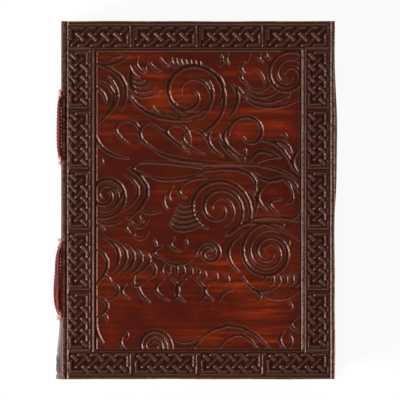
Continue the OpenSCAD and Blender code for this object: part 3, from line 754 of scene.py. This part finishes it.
# Three more lines of fibres stand at the top of each slot, where they show from above
slot_rows = np.where(open_slot.any(axis=1))[0]
for rows in np.split(slot_rows, np.where(np.diff(slot_rows) > 1)[0] + 1):
    middle = spine_ys[rows].mean()
    for aside in (-0.9 * MM, 0.3 * MM, 1.1 * MM):
        root_lines.append([len(root_points), len(root_points) + 1])
        root_points.append((fold_line_x - 0.2 * MM, middle + aside, spine_hi.z - 1.6 * MM))
        root_points.append((fold_line_x - 0.2 * MM, middle + aside, spine_hi.z - 0.2 * MM))
rim_mesh = bpy.data.meshes.new("slot_fibres")
rim_mesh.from_pydata(root_points, root_lines, [])
fibres = bpy.data.objects.new("slot_fibres", rim_mesh)
bpy.context.scene.collection.objects.link(fibres)
fibres = grown(fibres, fray, {"Spacing": 0.28 * MM, "Fibre length": 2.6 * MM, "Fibre radius": 0.13 * MM,
                              "Curl": 1.6 * MM, "Lowest": spine_lo.z, "Highest": spine_hi.z})
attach(fibres, "spine_and_pages")

# Sewing cords
# Waxed cotton cord of three plies, dyed maroon. Each stitch leaves one slot, lies along the spine and
# goes in again at the other slot, through the fold of its section.
cord_d = 2.2 * MM
# Gap between a cord and the leather, how far a cord dips in at a slot, and how deep the hole behind is
cord_gap = 0.1 * MM
slot_dip = 1.1 * MM
slot_depth = 3 * MM

# Waxed cotton: the dye is darker between the fibres, drawn 1 mm across so that they show, and the wax gives
# it a dull shine
waxed_cotton = bpy.data.materials.new("Waxed cotton cord")
waxed_cotton.use_nodes = True
tree = waxed_cotton.node_tree
shader = tree.nodes["Principled BSDF"]
thread = stretched_noise(tree, (900, 500, 900), 4.0)
tone = add(tree, "ShaderNodeValToRGB", {"Fac": thread}, stops=[(0.3, "2c0202"), (0.7, "76100d")])
tree.links.new(tone.outputs[0], shader.inputs["Base Color"])
shader.inputs["Roughness"].default_value = 0.55
shader.inputs["Specular IOR Level"].default_value = 0.3
shader.inputs["Sheen Weight"].default_value = 0.04
thread_bump = add(tree, "ShaderNodeBump", {"Height": thread, "Strength": 0.4, "Distance": 0.0002})
tree.links.new(thread_bump.outputs[0], shader.inputs["Normal"])

twist = bpy.data.node_groups.new("Three ply cord", "GeometryNodeTree")
twist.interface.new_socket("Path", in_out="INPUT", socket_type="NodeSocketGeometry")
for label in ("Diameter", "Lay length", "Sample length"):
    twist.interface.new_socket(label, in_out="INPUT", socket_type="NodeSocketFloat")
twist.interface.new_socket("Cord", in_out="OUTPUT", socket_type="NodeSocketGeometry")
given = add(twist, "NodeGroupInput").outputs
even = add(twist, "GeometryNodeResampleCurve", {"Curve": given["Path"], "Length": given["Sample length"]},
           mode="LENGTH")
along = add(twist, "GeometryNodeSplineParameter")
turns = add(twist, "ShaderNodeMath", {0: along.outputs["Length"], 1: given["Lay length"]}, operation="DIVIDE")
angle = add(twist, "ShaderNodeMath", {0: turns.outputs[0], 1: math.tau}, operation="MULTIPLY")
tilted = add(twist, "GeometryNodeSetCurveTilt", {"Curve": even.outputs[0], "Tilt": angle.outputs[0]})
ply_place = add(twist, "ShaderNodeMath", {0: given["Diameter"], 1: 0.235}, operation="MULTIPLY")
ply_size = add(twist, "ShaderNodeMath", {0: given["Diameter"], 1: 0.275}, operation="MULTIPLY")
ring = add(twist, "GeometryNodeMeshCircle", {"Vertices": 3, "Radius": ply_place.outputs[0]})
ply = add(twist, "GeometryNodeCurvePrimitiveCircle", {"Resolution": 8, "Radius": ply_size.outputs[0]})
plies = add(twist, "GeometryNodeInstanceOnPoints", {"Points": ring.outputs[0], "Instance": ply.outputs[0]})
profile = add(twist, "GeometryNodeRealizeInstances", {"Geometry": plies.outputs[0]})
swept = add(twist, "GeometryNodeCurveToMesh",
            {"Curve": tilted.outputs[0], "Profile Curve": profile.outputs[0], "Fill Caps": True})
smooth = add(twist, "GeometryNodeSetShadeSmooth", {"Geometry": swept.outputs[0]})
dressed = add(twist, "GeometryNodeSetMaterial", {"Geometry": smooth.outputs[0], "Material": waxed_cotton})
add(twist, "NodeGroupOutput", {"Cord": dressed.outputs[0]})


def stitch_route(node, slack, sway, lift):
    """Points of one stitch: in from the fold of its section, along the spine, and in again."""
    lo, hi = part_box(node)
    y0, y1 = lo.y + cord_d / 2, hi.y - cord_d / 2
    z = (lo.z + hi.z) / 2
    deep = hi.x - cord_d / 2
    route = [(deep, (y0 + y1) / 2, z), (deep, y1 - 1.5 * MM, z), (deep - 0.8 * MM, y1, z),
             (fold_line_x + slot_depth, y1, z)]
    for s in np.linspace(0, 1, 15):
        y = y1 + (y0 - y1) * s
        bow = math.sin(math.pi * s)
        side = math.sin(math.pi * min(max(s + sway * bow, 0), 1))
        x = skin_at(y, z) - cord_d / 2 - cord_gap - slack * side
        edge_pull = slot_dip * (1 - min(1, 6 * s)) + slot_dip * (1 - min(1, 6 * (1 - s)))
        route.append((x + edge_pull, y, z + lift * math.sin(math.tau * s)))
    route += [(fold_line_x + slot_depth, y0, z), (deep - 0.8 * MM, y0, z), (deep, y0 + 1.5 * MM, z),
              (deep, (y0 + y1) / 2 - 0.5 * MM, z)]
    return route


def cord_row(name, row, slacks, sways):
    """Makes the stitches of one row as one piece."""
    curve = bpy.data.curves.new(name, "CURVE")
    curve.dimensions = "3D"
    nodes = ["%s_stitch_%d" % (row, n + 1) for n in range(len(slacks))]
    for n, node in enumerate(nodes):
        route = stitch_route(node, slacks[n] * MM, sways[n], (0.3 if n % 2 else -0.3) * MM)
        spline = curve.splines.new("NURBS")
        spline.points.add(len(route) - 1)
        for point, (x, y, z) in zip(spline.points, route):
            point.co = (x, y, z, 1)
        spline.order_u = 3
        spline.use_endpoint_u = True
        spline.resolution_u = 6
    piece = bpy.data.objects.new(name, curve)
    bpy.context.scene.collection.objects.link(piece)
    piece = grown(piece, twist, {"Diameter": cord_d, "Lay length": 6 * MM, "Sample length": 0.9 * MM})
    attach(piece, "spine_and_pages")
    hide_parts(*nodes)


# How far each cord bows out in millimetres, from the back cover to the front, and how far off its middle
cord_row("upper_cords", "upper", [0.7, 0.4, 0.6, 0.2, 0.1, -0.2], [0, 0.1, -0.1, 0.1, 0, 0])
cord_row("lower_cords", "lower", [1.3, 1.6, 1.2, 1.5, 0.8, 0.1], [0.2, -0.2, 0.1, -0.15, 0.18, -0.2])

# Table, lamps and camera
# A plain white table. A low lamp from the lower left picks out the ridges that run up the cover, two
# soft lamps from the upper right and the head fill its shadows, and the room is brightest low down.
# White painted board. The camera and reflections see it nearly white, and it keeps the journal's shadow.
table = bpy.data.materials.new("White painted board")
table.use_nodes = True
tree = table.node_tree
shader = tree.nodes["Principled BSDF"]
shader.inputs["Base Color"].default_value = linear("e8e8e8")
shader.inputs["Roughness"].default_value = 0.9
rays = add(tree, "ShaderNodeLightPath").outputs
seen = add(tree, "ShaderNodeMath", {0: rays["Is Camera Ray"], 1: rays["Is Glossy Ray"]}, operation="MAXIMUM")
seen = add(tree, "ShaderNodeMath", {0: seen.outputs[0], 1: rays["Is Transmission Ray"]}, operation="MAXIMUM")
white = add(tree, "ShaderNodeEmission", {"Color": linear("ffffff"), "Strength": 1.0})
share = add(tree, "ShaderNodeMath", {0: seen.outputs[0], 1: 0.9}, operation="MULTIPLY")
shown = add(tree, "ShaderNodeMixShader", {0: share.outputs[0], 1: shader.outputs[0], 2: white.outputs[0]})
tree.links.new(shown.outputs[0], tree.nodes["Material Output"].inputs["Surface"])
floor_mesh = bpy.data.meshes.new("table")
half_table = 3.0
table_z = -0.2 * MM
floor_mesh.from_pydata([(half_table * x, half_table * y, table_z)
                        for x, y in ((-1, -1), (1, -1), (1, 1), (-1, 1))], [], [(0, 1, 2, 3)])
floor_mesh.materials.append(table)
floor = bpy.data.objects.new("table", floor_mesh)
bpy.context.scene.collection.objects.link(floor)


def lamp(name, place, size, power):
    """An area lamp that looks at the middle of the cover."""
    light = bpy.data.lights.new(name, "AREA")
    light.size = size
    light.energy = power
    lamp_object = bpy.data.objects.new(name, light)
    lamp_object.location = place
    lamp_object.rotation_euler = (Vector((0, 0, 0.02)) - Vector(place)).to_track_quat("-Z", "Y").to_euler()
    bpy.context.scene.collection.objects.link(lamp_object)


lamp("lower left lamp", (-1.1, -0.38, 0.60), 0.5, 34)
lamp("soft upper right lamp", (1.5, 0.9, 1.2), 1.2, 14)
lamp("soft lamp at the head", (0.0, 1.8, 1.6), 1.2, 16)
# The camera sees white, and the leather sees a room that darkens towards its ceiling
room = bpy.data.worlds.new("room with a dark ceiling")
room.use_nodes = True
tree = room.node_tree
upward = add(tree, "ShaderNodeSeparateXYZ", {0: add(tree, "ShaderNodeTexCoord").outputs["Generated"]})
level = add(tree, "ShaderNodeMapRange", {"Value": upward.outputs["Z"], "From Min": 0.25, "From Max": 0.9,
                                         "To Min": 0.9, "To Max": 0.05})
seen = add(tree, "ShaderNodeLightPath").outputs["Is Camera Ray"]
level = add(tree, "ShaderNodeMix", {0: seen, 2: level.outputs[0], 3: 1.0})
back = tree.nodes["Background"]
back.inputs["Color"].default_value = linear("ffffff")
tree.links.new(level.outputs[0], back.inputs["Strength"])
bpy.context.scene.world = room

# The camera looks straight down, as in the photo. frame_width is what it sees at the height of the cover.
camera_height = 3.0
frame_width = 0.2264
lens = bpy.data.cameras.new("camera")
lens.sensor_width = 36
lens.sensor_fit = "HORIZONTAL"
lens.angle = 2 * math.atan(frame_width / 2 / (camera_height - front_hi.z))
lens.clip_end = 20
camera = bpy.data.objects.new("camera", lens)
camera.location = (1.0 * MM, 0.1 * MM, camera_height)
bpy.context.scene.collection.objects.link(camera)
bpy.context.scene.camera = camera
bpy.context.scene.view_settings.view_transform = "Standard"
